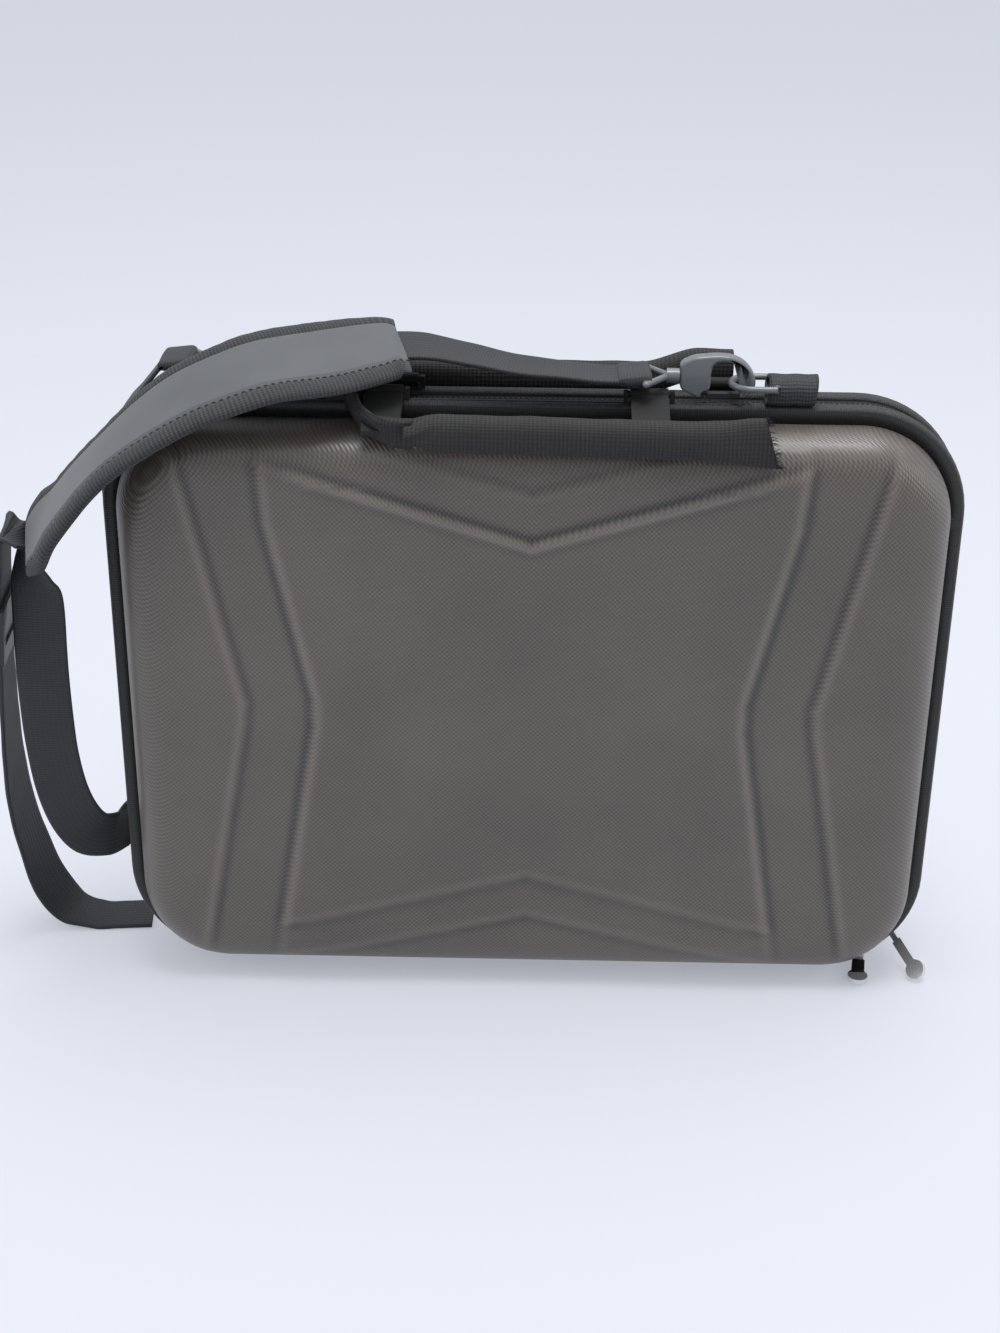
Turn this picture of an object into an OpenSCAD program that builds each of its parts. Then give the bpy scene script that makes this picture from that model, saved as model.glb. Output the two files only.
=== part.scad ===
// Moulded laptop hard case with carry handles and a draped shoulder strap.
// X runs to the right, Y away from the viewer, Z up. The origin is the centre
// of the hinge strip's flat underside, which the closed case stands on.

/* [Case] */
// Overall width, over the bindings
case_w = 400; // [370:1:440]
// Overall height, over the bindings
case_h = 300; // [280:1:330]
// Depth of each half, from the zip's centre to the face
half_d = 40; // [36:1:48]
// Radius of the case's corners, over the bindings
corner_r = 52; // [48:1:60]
// Thickness of the moulded shell
wall = 2.5; // [1.5:0.1:3.5]
// Thickness of the cloth lining
lining = 1; // [0.5:0.1:1.5]
// Height of the moulded relief on the faces
relief = 2; // [1:0.1:3]
// Width of the relief's bands
band = 27; // [20:1:32]

/* [Zip and hinge] */
// How far the bindings stand out past the shells
bind_out = 8; // [6:0.5:10]
// Width of each binding, front to back
bind_w = 8; // [6:0.5:10]
// Half the gap between the bindings, which the zip fills
zip_half = 5; // [4:0.1:6]
// Thickness of the zip tape
tape_t = 1.6; // [1:0.1:2]
// Half the gap between the two tapes
tape_gap = 0.6; // [0.5:0.05:0.8]
// Length of the hinge strip
hinge_len = 240; // [200:5:270]
// Thickness of the hinge strip
hinge_t = 2; // [1.5:0.1:3]
// Length of a zip slider
slider_len = 11; // [9:0.5:12]
// Width of a zip slider
slider_w = 8; // [7:0.5:9]
// Angle of the lower slider round the corner
lower_at = 62; // [60:1:66]
// Angle of the upper slider round the corner
upper_at = 42; // [36:1:44]
// Length of a zip pull
pull_len = 31; // [26:1:33]

/* [Handles] */
// Length of a handle's sleeve
grip_len = 162; // [150:1:170]
// Radius of a handle's sleeve
grip_r = 9; // [7:0.1:9.5]
// Width of the handle webbing
leg_w = 18; // [14:1:20]
// Thickness of the handle webbing
leg_t = 2.4; // [1.5:0.1:3]
// Centre of the front sleeve, to the right of the case's centre
grip_x = 24; // [10:1:24]

/* [Strap] */
// Width of the strap's webbing
web_w = 25; // [20:0.5:26]
// Thickness of the strap's webbing
web_t = 1.8; // [1.2:0.1:2.2]
// Width of the shoulder pad
pad_w = 55; // [45:1:58]
// Thickness of the shoulder pad
pad_t = 8; // [6:0.1:8.5]
// Diameter of the rings' wire
wire = 3; // [2.5:0.1:3.5]
// Width inside a ring
ring_in = 17; // [16:0.5:20]
// Thickness of a snap hook
hook_t = 7; // [6:0.5:8]
// Height of a snap hook
hook_h = 21; // [20:0.5:22]
// Length of a snap hook's body
hook_len = 34; // [32:1:38]

/* [Fits] */
// Running clearance of pins and bores, on the radius
run = 0.06; // [0.03:0.01:0.1]
// Clearance between soft pieces that pass each other
soft = 0.3; // [0.2:0.05:0.5]

/* [Hidden] */
$fn = 48;

cloth = [0.33, 0.33, 0.34];
piping = [0.42, 0.43, 0.45];
dark = [0.16, 0.17, 0.19];
slate = [0.45, 0.46, 0.5];
metal = [0.62, 0.62, 0.64];
lining_grey = [0.26, 0.26, 0.28];

rim_r = corner_r - bind_out;             // corner radius of the shell's rim
bind_end = zip_half + bind_w;            // where the shell's draft starts
flat_r = rim_r - 26;                     // corner radius of the flat face
base_d = half_d - relief;                // depth of the face under its relief
tape_r = corner_r - 3.4;                 // middle of the tape, from the corner's centre
left = -case_w / 2;
mid_z = case_h / 2;
cc_x = case_w / 2 - corner_r;            // corner centre, sideways
cc_z = corner_r;                         // corner centre, above the table

/* ---- Helpers ---- */

// Sweeps a profile (x outward from the corner's centre, y towards the front) round the case
module around() {
    translate([0, 0, mid_z]) for (k = [0:3]) rotate([0, 90 * k, 0]) {
        len = (k % 2 == 0 ? case_w : case_h) - 2 * corner_r;
        out = (k % 2 == 0 ? case_h : case_w) / 2 - corner_r;
        translate([-len / 2, 0, out]) rotate([180, -90, 0]) linear_extrude(len) children();
        translate([len / 2, 0, out]) rotate([90, 0, 0]) rotate_extrude(angle = 90) children();
    }
}

// Rounded rectangle over the corner centres, grown by r
module outline(r) {
    for (sx = [-1, 1]) for (sz = [-1, 1])
        translate([sx * cc_x, mid_z + sz * (mid_z - cc_z)]) circle(r);
    translate([-cc_x - r, cc_z]) square([2 * (cc_x + r), case_h - 2 * cc_z]);
    translate([-cc_x, cc_z - r]) square([2 * cc_x, case_h - 2 * cc_z + 2 * r]);
}

// Flat plate in the case's outline, from depth d to depth d + t on the front side
module plate(d, t) {
    translate([0, -d, 0]) rotate([90, 0, 0]) linear_extrude(t) children();
}

// Points of the shell's rounded edge, drawn in by t
function edge(t, n = 2.7, step = 10) = [for (a = [0:step:90])
    [flat_r + (rim_r - flat_r - t) * pow(cos(a), 2 / n),
     bind_end + (base_d - bind_end - t) * pow(sin(a), 2 / n)]];
function reversed(list) = [for (i = [len(list) - 1:-1:0]) list[i]];

// Wall of thickness t whose outside lies s inside the shell's outside
module tray(s, t, from) {
    around() polygon(concat([[rim_r - s, from]], edge(s), reversed(edge(s + t)),
        [[rim_r - s - t, from]]));
    plate(base_d - s - t, t) outline(flat_r + 0.01);
}

function unit(v) = v / norm(v);
// Catmull-Rom point between p[i] and p[i + 1]
function spline_at(p, i, f) = let (n = len(p), a = p[max(i - 1, 0)], b = p[i], c = p[min(i + 1, n - 1)],
    d = p[min(i + 2, n - 1)]) 0.5 * (2 * b + (c - a) * f + (2 * a - 5 * b + 4 * c - d) * f * f
    + (3 * b - a - 3 * c + d) * f * f * f);
function smooth(p, k) = [for (i = [0:len(p) - 2]) for (j = [0:k - 1]) spline_at(p, i, j / k),
    p[len(p) - 1]];

// Closed solid through rings of points that all have the same count
module skin(rings) {
    n = len(rings[0]);
    last = (len(rings) - 1) * n;
    faces = concat(
        [for (i = [0:len(rings) - 2]) for (j = [0:n - 1]) let (a = i * n + j, b = i * n + (j + 1) % n)
            each [[a, a + n, b], [b, a + n, b + n]]],
        [for (j = [1:n - 2]) [0, j, j + 1]],
        [for (j = [1:n - 2]) [last, last + j + 1, last + j]]);
    polyhedron([for (r = rings) each r], faces);
}

// Flat band through stations of [centre, width direction], k steps to a span
module ribbon(stations, width = web_w, t = web_t, k = 4) {
    c = smooth([for (s = stations) s[0]], k);
    w = smooth([for (s = stations) unit(s[1])], k);
    n = len(c);
    skin([for (i = [0:n - 1]) let (d = unit(c[min(i + 1, n - 1)] - c[max(i - 1, 0)]),
        u = unit(w[i] - (w[i] * d) * d) * width / 2, v = cross(d, unit(u)) * t / 2)
        [c[i] - u - v, c[i] + u - v, c[i] + u + v, c[i] - u + v]]);
}

/* ---- Moulded halves ---- */

// Relief on a face: a centre panel, two chevron bands and two outer fields, in steps
panel_top = case_h - 27;
waist_z = mid_z + 4;
module field(points) {
    for (side = [0, 1]) mirror([side, 0]) intersection() {
        polygon(points);
        outline(flat_r - 1);
    }
}
module centre_panel() {
    field([[-0.01, 68], [105, 36], [124, 26], [102, waist_z - 6], [102, waist_z + 7],
        [116, panel_top - 26], [110, panel_top], [-0.01, case_h - 58]]);
}
module chevrons() {
    field([[-0.01, case_h - 57], [110, panel_top + 1], [110, panel_top + 13],
        [86, panel_top + 13], [-0.01, case_h - 34]]);
    field([[-0.01, 43], [80, 20], [110, 14], [112, 34], [-0.01, 67]]);
}
module outer_fields() {
    field([[102 + band, waist_z - 6], [102 + band, waist_z + 7], [102 + 2 * band, case_h - 30],
        [case_w / 2, case_h - 30], [case_w / 2, 20], [102 + 2 * band, 20]]);
}
module half_shell() {
    tray(0, wall, zip_half);
    plate(base_d, relief) centre_panel();
    plate(base_d, relief * 0.5) chevrons();
    plate(base_d, relief * 0.8) outer_fields();
}
module half_binding() {
    round_r = 3;
    arc = [for (a = [0:15:90]) round_r * [cos(a), sin(a)]];
    tip = [corner_r - round_r, bind_end - round_r];
    lip = [corner_r - round_r, zip_half + round_r];
    around() polygon(concat([[rim_r, bind_end], [rim_r, zip_half]],
        [for (p = reversed(arc)) lip + [p[0], -p[1]]], [for (p = arc) tip + p]));
}
module half_tape() {
    difference() {
        around() translate([tape_r - tape_t / 2, tape_gap]) square([tape_t, zip_half - tape_gap]);
        translate([-hinge_len / 2 - 2, -zip_half - 1, -1]) cube([hinge_len + 4, zip_half + 2, 20]);
    }
}
module half_liner() {
    tray(wall, lining, bind_end);
}

module front_shell() { color(cloth) half_shell(); }
module front_binding() { color(piping) half_binding(); }
module front_zip_tape() { color(dark) half_tape(); }
module front_liner() { color(lining_grey) half_liner(); }
module rear_shell() { color(cloth) mirror([0, 1, 0]) half_shell(); }
module rear_binding() { color(piping) mirror([0, 1, 0]) half_binding(); }
module rear_zip_tape() { color(dark) mirror([0, 1, 0]) half_tape(); }
module rear_liner() { color(lining_grey) mirror([0, 1, 0]) half_liner(); }

// Flat strip of webbing, sewn to the front binding, that the rear half folds on
module hinge_strip() {
    color(dark) translate([-hinge_len / 2, -zip_half, 0])
        cube([hinge_len, 2 * zip_half - soft, hinge_t]);
}

/* ---- Inside ---- */

in_w = case_w - 2 * (bind_out + wall + lining);   // clear width inside the lining
pocket_z = mid_z + 20;                            // top of the pocket
pocket_d = bind_end + 4;                          // depth of the pocket's panel
pocket_t = 1.2;
module lid_pocket() {
    color(lining_grey) intersection() {
        plate(pocket_d, pocket_t) outline(rim_r - wall - lining - soft);
        translate([-case_w / 2, -half_d, 0]) cube([case_w, half_d, pocket_z]);
    }
}
module pocket_elastic() {
    color(dark) translate([0, -pocket_d - pocket_t / 2, pocket_z + 2.5]) rotate([0, 90, 0])
        cylinder(r = 2.5, h = in_w - 1, center = true);
}
strap_z = mid_z;
strap_tall = 40;
strap_d = bind_end - 2;                           // depth of the laptop strap
module laptop_strap() {
    color(dark) translate([-in_w / 2 - lining, strap_d - 2, strap_z - strap_tall / 2])
        cube([in_w + 2 * lining, 2, strap_tall]);
}
module strap_fastener() {
    color(lining_grey) translate([-30, strap_d - 3.6, strap_z - strap_tall / 2 + 3])
        cube([60, 1.6, strap_tall - 6]);
}

/* ---- Handles ---- */

anchor_y = -zip_half - bind_w + 4;                // where the legs turn, front to back
leg_z = case_h + 1;
front_y = -half_d - 2;                            // centre of the front sleeve
front_z = case_h - 6;
rear_y = bind_end + grip_r;                         // the rear sleeve lies folded down
rear_z = case_h + 2;
hinge_r = 1.5;                                    // pin line that a leg turns on
left_leg = grip_x - grip_len / 2 - 11;
pin_z = leg_z + hinge_r + 1.4;                     // clear of the patch under it
right_leg = 52;                                   // left of the snap hook
rear_x = 11;

// Stitched patch on the binding, with the loop that a handle's leg turns in
module anchor(x, y) {
    translate([x - leg_w / 2, min(y - 3.5, y + 3.5), case_h]) cube([leg_w, 7, 1]);
    translate([x, y, pin_z]) rotate([0, 90, 0])
        cylinder(r = hinge_r - run, h = leg_w + 4, center = true);
    for (s = [-1, 1]) translate([x + s * (leg_w / 2 + 1.5) - 1, y - hinge_r, case_h])
        cube([2, 2 * hinge_r, pin_z - case_h + hinge_r]);
}
module front_handle_anchors() {
    color(dark) for (x = [left_leg, right_leg]) anchor(x, anchor_y);
}
module rear_handle_anchors() {
    color(dark) for (s = [-1, 1]) anchor(rear_x + s * (grip_len / 2 - 8), -anchor_y);
}
// Leg from its pin line at a to its sleeve at b, both as [y, z]
module leg(x, a, b) {
    d = b - a;
    translate([x, a[0], a[1]]) rotate([atan2(d[1], d[0]), 0, 0]) difference() {
        union() {
            translate([-leg_w / 2 + 0.5, 0, -leg_t / 2]) cube([leg_w - 1, norm(d), leg_t]);
            rotate([0, 90, 0]) cylinder(r = hinge_r + 1.2, h = leg_w - 1, center = true);
        }
        rotate([0, 90, 0]) cylinder(r = hinge_r, h = leg_w, center = true);
    }
}
module front_handle_grip() {
    color(dark) translate([grip_x - grip_len / 2, front_y, front_z]) rotate([0, 90, 0])
        difference() {
            cylinder(r = grip_r, h = grip_len);
            translate([0, 0, -1]) cylinder(r = grip_r - 4, h = 8);
        }
}
module front_handle_webbing() {
    color(dark) for (x = [left_leg, right_leg]) leg(x, [anchor_y, pin_z],
        [front_y + (x > 0 ? grip_r : 2), front_z + (x > 0 ? 3 : 0)]);
}
module rear_handle_grip() {
    color(dark) translate([rear_x - grip_len / 2, rear_y, rear_z]) rotate([0, 90, 0])
        cylinder(r = grip_r - 1, h = grip_len);
}
module rear_handle_webbing() {
    color(dark) for (s = [-1, 1]) leg(rear_x + s * (grip_len / 2 - 8), [-anchor_y, pin_z],
        [rear_y - grip_r + 0.9, pin_z]);
}

/* ---- Rings, hooks and their tabs ---- */

ring_z = case_h + 8.5;
ring_x = 109;                                     // the right ring's bar
ring_y = -5;
ring_reach = 20;                                  // bar to the middle of the bow
bow_r = (ring_in + wire) / 2;
hook_y = ring_y - 1.5;
hook_z = case_h + 12;
left_bar = 100;                                   // the left ring's bar, to the left
left_y = 10;
left_z = case_h + 11.5;

// D-ring in the XY plane, its bar on the Y axis and its bow towards -X
module d_ring() {
    rotate([90, 0, 0]) cylinder(d = wire, h = 2 * bow_r, center = true);
    for (s = [-1, 1]) {
        translate([0, s * bow_r, 0]) sphere(d = wire);
        translate([bow_r - ring_reach, s * bow_r, 0]) rotate([0, 90, 0])
            cylinder(d = wire, h = ring_reach - bow_r);
    }
    translate([bow_r - ring_reach, 0, 0]) rotate([0, 0, 90]) rotate_extrude(angle = 180)
        translate([bow_r, 0]) circle(d = wire);
}
// Webbing loop round a bar on the Y axis, running to +X
module tab_loop(len) {
    w = ring_in - 2 * soft;
    r = wire / 2 + 2.1;
    difference() {
        union() {
            rotate([90, 0, 0]) cylinder(r = r, h = w, center = true);
            translate([0, -w / 2, -r]) cube([len, w, 2 * r]);
        }
        rotate([90, 0, 0]) cylinder(r = wire / 2 + run, h = w + 2, center = true);
    }
}
// Snap hook in the XZ plane, its beak towards +X, its swivel hole on the X axis
module hook_body() {
    h = hook_h / 2;
    difference() {
        rotate([90, 0, 0]) linear_extrude(hook_t, center = true) difference() {
            union() {
                translate([0, -h + 2]) square([hook_len - 8, hook_h - 4]);
                translate([2, -h]) square([hook_len - 10, hook_h]);
                for (s = [-1, 1]) translate([2, s * (h - 2)]) circle(2);
                for (s = [-1, 1]) translate([hook_len - 8, s * (h - 8)]) circle(8);
                translate([hook_len - 8, -h + 8]) square([8, hook_h - 16]);
            }
            translate([mouth_x, -h + 3.4]) square([mouth_len, mouth_h]);
            translate([gate_x - 2.6, -h - 1]) square([mouth_x + mouth_len - gate_x + 2.6, 4.8]);
        }
        translate([-1, 0, 0]) rotate([0, 90, 0]) cylinder(r = stem_r + run, h = 9);
    }
    for (s = [-1, 1]) translate([gate_x, s * (hook_t / 2 - 0.5), 0 - h + 1.9]) rotate([90, 0, 0])
        cylinder(r = 1, h = 1, center = true);
    translate([gate_x, 0, -h + 1.9]) rotate([90, 0, 0])
        cylinder(r = 1, h = hook_t, center = true);
    for (s = [-1, 1]) translate([gate_x - 2.7, s * (hook_t / 2 - 0.6) - 0.6, -h + 0.4])
        cube([4, 1.2, 3.2]);
}
mouth_x = 13;
mouth_len = 14.5;
mouth_h = 11;
gate_x = 11.5;
stem_r = 1.6;
module gate_body() {
    h = hook_h / 2;
    w = hook_t - 2.4 - 2 * soft;
    difference() {
        union() {
            translate([gate_x, w / 2, -h + 1.9]) rotate([90, 0, 0]) cylinder(r = 1.7, h = w);
            translate([gate_x, -w / 2, -h + 0.9])
                cube([mouth_x + mouth_len - gate_x - 0.2, w, 2]);
        }
        translate([gate_x, w, -h + 1.9]) rotate([90, 0, 0]) cylinder(r = 1 + run, h = 3 * w);
    }
}
// Swivel eye: a bar for the webbing, two legs and the stem that the hook turns on
eye_len = 16;
eye_half = web_w / 2 + wire / 2 + 0.6;
module swivel_eye() {
    translate([-eye_len, 0, 0]) rotate([90, 0, 0])
        cylinder(d = wire, h = 2 * eye_half, center = true);
    for (s = [-1, 1]) translate([-eye_len, s * eye_half, 0]) {
        sphere(d = wire);
        rotate([0, 90, -s * atan2(eye_half, eye_len - 5)])
            cylinder(d = wire, h = norm([eye_half, eye_len - 5]));
    }
    translate([-6, 0, 0]) rotate([0, 90, 0]) cylinder(r = 3.4, h = 6 - soft);
    translate([-1, 0, 0]) rotate([0, 90, 0]) cylinder(r = stem_r, h = 8);
}
hook_x = ring_x - ring_reach - mouth_x - mouth_len + wire / 2 + 2.6;
left_hook = -(left_bar + ring_reach - wire / 2 - 2.6 + mouth_x + mouth_len);

module at_right_hook() { translate([hook_x, hook_y, hook_z]) children(); }
module at_left_hook() { translate([left_hook, left_y - 2, left_z + 0.5]) children(); }
module tab_right() {
    color(dark) {
        translate([ring_x, ring_y, ring_z]) tab_loop(18);
        translate([ring_x + 4, -bind_end, case_h]) cube([14, bind_w, ring_z - case_h - 3.6]);
    }
}
module tab_left() {
    color(dark) {
        translate([-left_bar, left_y, left_z]) rotate([90, 0, 0]) tab_loop(18);
        translate([-left_bar + 6, -bind_end, case_h + soft])
            cube([12, left_y + bind_end, left_z - ring_in / 2 + soft - case_h - soft + 0.5]);
        translate([-left_bar + 6, -bind_end, case_h]) cube([12, bind_w, 1]);
    }
}
module ring_right() { color(metal) translate([ring_x, ring_y, ring_z]) d_ring(); }
module ring_left() {
    color(metal) translate([-left_bar, left_y, left_z]) rotate([90, 0, 0]) d_ring();
}
module hook_right() { color(slate) at_right_hook() hook_body(); }
module hook_left() { color(slate) at_left_hook() rotate([90, 0, 0]) hook_body(); }
module gate_right() { color(metal) at_right_hook() gate_body(); }
module gate_left() { color(metal) at_left_hook() rotate([90, 0, 0]) gate_body(); }
module swivel_eye_right() { color(slate) at_right_hook() swivel_eye(); }
module swivel_eye_left() { color(slate) at_left_hook() swivel_eye(); }

/* ---- Shoulder strap ---- */

// The webbing's sewn loop round a swivel eye's bar
module strap_loop() {
    r = wire / 2 + web_t;
    translate([-eye_len, 0, 0]) difference() {
        union() {
            rotate([90, 0, 0]) cylinder(r = r, h = web_w, center = true);
            translate([-9, -web_w / 2, -r]) cube([9, web_w, 2 * r]);
        }
        rotate([90, 0, 0]) cylinder(r = wire / 2 + run, h = web_w + 2, center = true);
        for (s = [-1, 1]) translate([0, s * eye_half, 0])
            rotate([0, 90, -s * atan2(eye_half, eye_len - 5)]) cylinder(d = wire + 2 * soft, h = 9);
    }
}
module strap_loop_right() { color(dark) at_right_hook() strap_loop(); }
module strap_loop_left() { color(dark) at_left_hook() strap_loop(); }

loop_end = hook_x - eye_len - 9;
flat = [0, 1, 0];
top_route = [
    [[loop_end - 0.4, hook_y, hook_z], flat],
    [[31, hook_y, case_h + 11.9], flat],
    [[13, -6, case_h + 13.4], flat],
    [[-9, -5, case_h + 15.5], [0, 0.99, 0.05]],
    [[-30, -2, case_h + 19], [-0.1, 0.98, 0.1]],
    [[-49, 0.6, case_h + 21.6], [-0.2, 0.96, 0.16]],
    [[-66.4, 2, case_h + 21.25], [-0.2, 0.97, 0.18]]];
module strap_top_run() { color(dark) ribbon(top_route); }

// Stations of the pad: centre, width direction, share of the full width
pad_route = [
    [[-66.4, 2, case_h + 21.2], [-0.26, 0.95, 0.18], 0.8],
    [[-72, 0.4, case_h + 20.9], [-0.27, 0.94, 0.22], 0.98],
    [[-95, -14, case_h + 19.5], [-0.29, 0.91, 0.3], 1],
    [[-119, -26, case_h + 18.8], [-0.32, 0.91, 0.27], 1],
    [[left + 65, -32, case_h + 15], [-0.37, 0.9, 0.23], 1],
    [[left + 46, -36, case_h + 7.5], [-0.44, 0.89, 0.13], 1],
    [[left + 29, -38, case_h - 3], [-0.42, 0.91, 0.02], 1],
    [[left + 13, -38, case_h - 16], [-0.41, 0.9, -0.13], 1],
    [[left - 2, -38, case_h - 31], [-0.43, 0.87, -0.23], 1],
    [[left - 16, -37, case_h - 48], [-0.42, 0.87, -0.24], 1],
    [[left - 25, -34, case_h - 60], [-0.46, 0.87, -0.16], 0.9],
    [[left - 31, -32, case_h - 69], [-0.39, 0.92, -0.05], 0.62]];
pad_steps = 2;
pad_sides = 16;
module shoulder_pad() {
    c = smooth([for (s = pad_route) s[0]], pad_steps);
    w = smooth([for (s = pad_route) unit(s[1])], pad_steps);
    share = smooth([for (s = pad_route) s[2]], pad_steps);
    n = len(c);
    color(slate) skin([for (i = [0:n - 1]) let (d = unit(c[min(i + 1, n - 1)] - c[max(i - 1, 0)]),
        u = unit(w[i] - (w[i] * d) * d), v = cross(d, u), end = min(i, n - 1 - i),
        t = pad_t * (end == 0 ? 0.45 : end == 1 ? 0.8 : 1))
        [for (k = [0:pad_sides - 1]) let (a = 360 * k / pad_sides,
            e = pow(abs(cos(a)), 0.55) * sign(cos(a)), g = pow(abs(sin(a)), 0.8) * sign(sin(a)))
            c[i] + u * e * share[i] * pad_w / 2 + v * g * t / 2]]);
}

pad_end = pad_route[len(pad_route) - 1][0];
// The run that leaves the pad's end, turns under and goes behind the case
lower_route = [
    [pad_end + [0, 0.5, -1], [0.39, -0.92, 0.05]],
    [[left - 31, -29, case_h - 80], [0.8, -0.6, 0.02]],
    [[left - 30.8, -26, case_h - 96], [1, -0.1, 0.03]],
    [[left - 32, -25, case_h - 138], [1, 0, 0.02]],
    [[left - 31, -24, case_h - 178], [0.98, 0, 0.12]],
    [[left - 27, -20, 92], [0.88, 0.1, 0.46]],
    [[left - 20, -11, 71], [0.55, 0.2, 0.8]],
    [[left - 11, 1, 63], [0.2, 0, 0.97]],
    [[left - 6, 12, 62], [0, 0, 1]]];
module strap_lower_run() { color(dark) ribbon(lower_route); }

side_x = left - 4.6;
side_route = [
    [[left - 5.9, 12.9, 62], [0, 0, 1]],
    [[left - 5.2, 16.5, 62.2], [0, -0.1, 1]],
    [[side_x, 22, 65.5], [0, -0.55, 0.84]],
    [[side_x, 27, 74], [0, -0.94, 0.34]],
    [[side_x, 29, 90], [0, -1, 0]],
    [[side_x, 29, mid_z], [0, -1, 0]],
    [[side_x, 27, case_h - 62], [0, -1, 0]],
    [[left - 3.4, 23, case_h - 42], [0, -1, 0]],
    [[left + 2, 19, case_h - 24], [0, -1, 0]],
    [[left + 9, 14, case_h - 9], [0, -1, 0]],
    [[left + 16, 10, case_h + 2], [0, -1, 0]],
    [[left_hook - eye_len - 17, left_y - 2, left_z - 1.4], [0, -1, 0]],
    [[left_hook - eye_len - 12, left_y - 2, left_z + 0.4], [0, -1, 0]],
    [[left_hook - eye_len - 9.4, left_y - 2, left_z + 0.5], [0, -1, 0]]];
module strap_side_run() { color(dark) ribbon(side_route); }

// The free tail, straight where the adjuster slides on it, then down to the table
tail_top = [left - 44, -26, case_h - 66];
tail_low = [left - 52, -14, case_h - 136];
tail_dir = unit(tail_top - tail_low);
tail_tilt = asin(-tail_dir[1]);
tail_lean = atan2(tail_dir[0], tail_dir[2]);
tail_wide = [sin(tail_tilt) * sin(tail_lean), cos(tail_tilt), sin(tail_tilt) * cos(tail_lean)];
tail_flat = web_t / 2 + 0.2;
module strap_tail() {
    color(dark) {
        ribbon([
            [pad_end + [-web_t, 1, 1.5], [-0.2, 0.97, -0.1]],
            [tail_top + [4, -1, 5], tail_wide],
            [tail_top, tail_wide],
            [tail_low, tail_wide],
            [[left - 57, -2, 112], [0.1, 1, 0]],
            [[left - 58, 7, 76], [0.2, 0.98, 0]],
            [[left - 55, 13, 48], [0.3, 0.95, 0]],
            [[left - 50, 17, 24], [0.4, 0.9, 0.05]],
            [[left - 40, 20, 7], [0.4, 0.9, 0]],
            [[left - 26, 20, tail_flat + 0.5], [0.2, 0.97, 0]],
            [[left - 14, 21, tail_flat], [0.1, 0.98, 0]],
            [[left + 2, 22.5, tail_flat], [0.08, 0.98, 0]]]);
    }
}
adjuster_at = 0.62;                               // place on the straight, from its top
adjuster_len = 30;
module strap_adjuster() {
    c = tail_top + (tail_low - tail_top) * adjuster_at;
    color(slate) translate(c) rotate([tail_tilt, tail_lean, 0]) difference() {
        cube([6, web_w + 7, adjuster_len], center = true);
        cube([web_t + 0.7, web_w + 1, adjuster_len + 2], center = true);
        for (s = [-1, 1]) translate([s * 4, 0, 0]) cube([4, web_w, adjuster_len - 18], center = true);
    }
}

/* ---- Zip sliders and pulls ---- */

plate_r = tape_r + tape_t / 2 + soft;
plate_t = 1.8;
inner_plate = tape_r - tape_t / 2 - 2 * soft - plate_t;
module slider_body() {
    translate([plate_r, -slider_w / 2, -slider_len / 2]) cube([plate_t, slider_w, slider_len]);
    translate([inner_plate, -slider_w / 2, -slider_len / 2])
        cube([plate_t - 0.1, slider_w / 2 - 0.3, slider_len]);
    translate([inner_plate + 0.5, -tape_gap + 0.2, -3])
        cube([plate_r - inner_plate, 2 * (tape_gap - 0.2), 6]);
}
module on_corner(at) { translate([cc_x, 0, cc_z]) rotate([0, at, 0]) children(); }
hang_r = corner_r + 3.4;                          // a pull's pin, outside the binding
hang_y = -1.5;
eye_r = 2.4;
pin_r = 0.9;
pull_lean = 32;                                   // how far the upper pull leans outwards
lower_az = -100;
lower_hang = [cc_x + hang_r * cos(lower_at), hang_y, cc_z - hang_r * sin(lower_at)];
module slider_lower() {
    color(metal) {
        on_corner(lower_at) slider_body();
        translate(lower_hang) {
            translate([0, 0, -1.9]) cylinder(r = pin_r, h = 6);
            translate([0, 0, -1.9]) cylinder(r = 1.8, h = 0.6);
            translate([0, 0, 1.4]) cylinder(r = 1.7, h = 4.6);
        }
    }
}
module slider_upper() {
    color(metal) on_corner(upper_at) {
        slider_body();
        translate([hang_r, hang_y, 0]) {
            cylinder(r = pin_r, h = 5.4, center = true);
            for (s = [-1, 1]) translate([plate_r + 1 - hang_r, -1.3, s * 2.3 - 0.5])
                cube([hang_r - plate_r, 2.6, 1]);
        }
    }
}
// Pull along +X: a neck from its eye, a shank and a round end
module pull_shape(neck) {
    translate([0, -1.5, -1.2]) cube([neck, 3, 2.4]);
    translate([neck - 1, -2.5, -1.2]) cube([pull_len - 5 - neck + 1, 5, 2.4]);
    translate([pull_len - 5, 0, -1.2]) cylinder(r = 5, h = 2.4);
}
module pull_lower() {
    color(dark) translate(lower_hang) rotate([0, 0, lower_az]) difference() {
        union() {
            translate([0, 0, -1.2]) cylinder(r = eye_r, h = 2.4);
            pull_shape(8);
            translate([12.5, -3.2, -1.8]) cube([pull_len - 21, 6.4, 3.6]);
        }
        translate([0, 0, -2]) cylinder(r = pin_r + run, h = 4);
    }
}
module pull_upper() {
    color(metal) on_corner(upper_at) translate([hang_r, hang_y, 0])
        rotate([0, 0, pull_lean - 90]) rotate([90, 0, 0]) difference() {
            union() {
                rotate([90, 0, 0]) cylinder(r = eye_r, h = 3, center = true);
                pull_shape(8);
            }
            rotate([90, 0, 0]) cylinder(r = pin_r + run, h = 8, center = true);
        }
}

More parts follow.
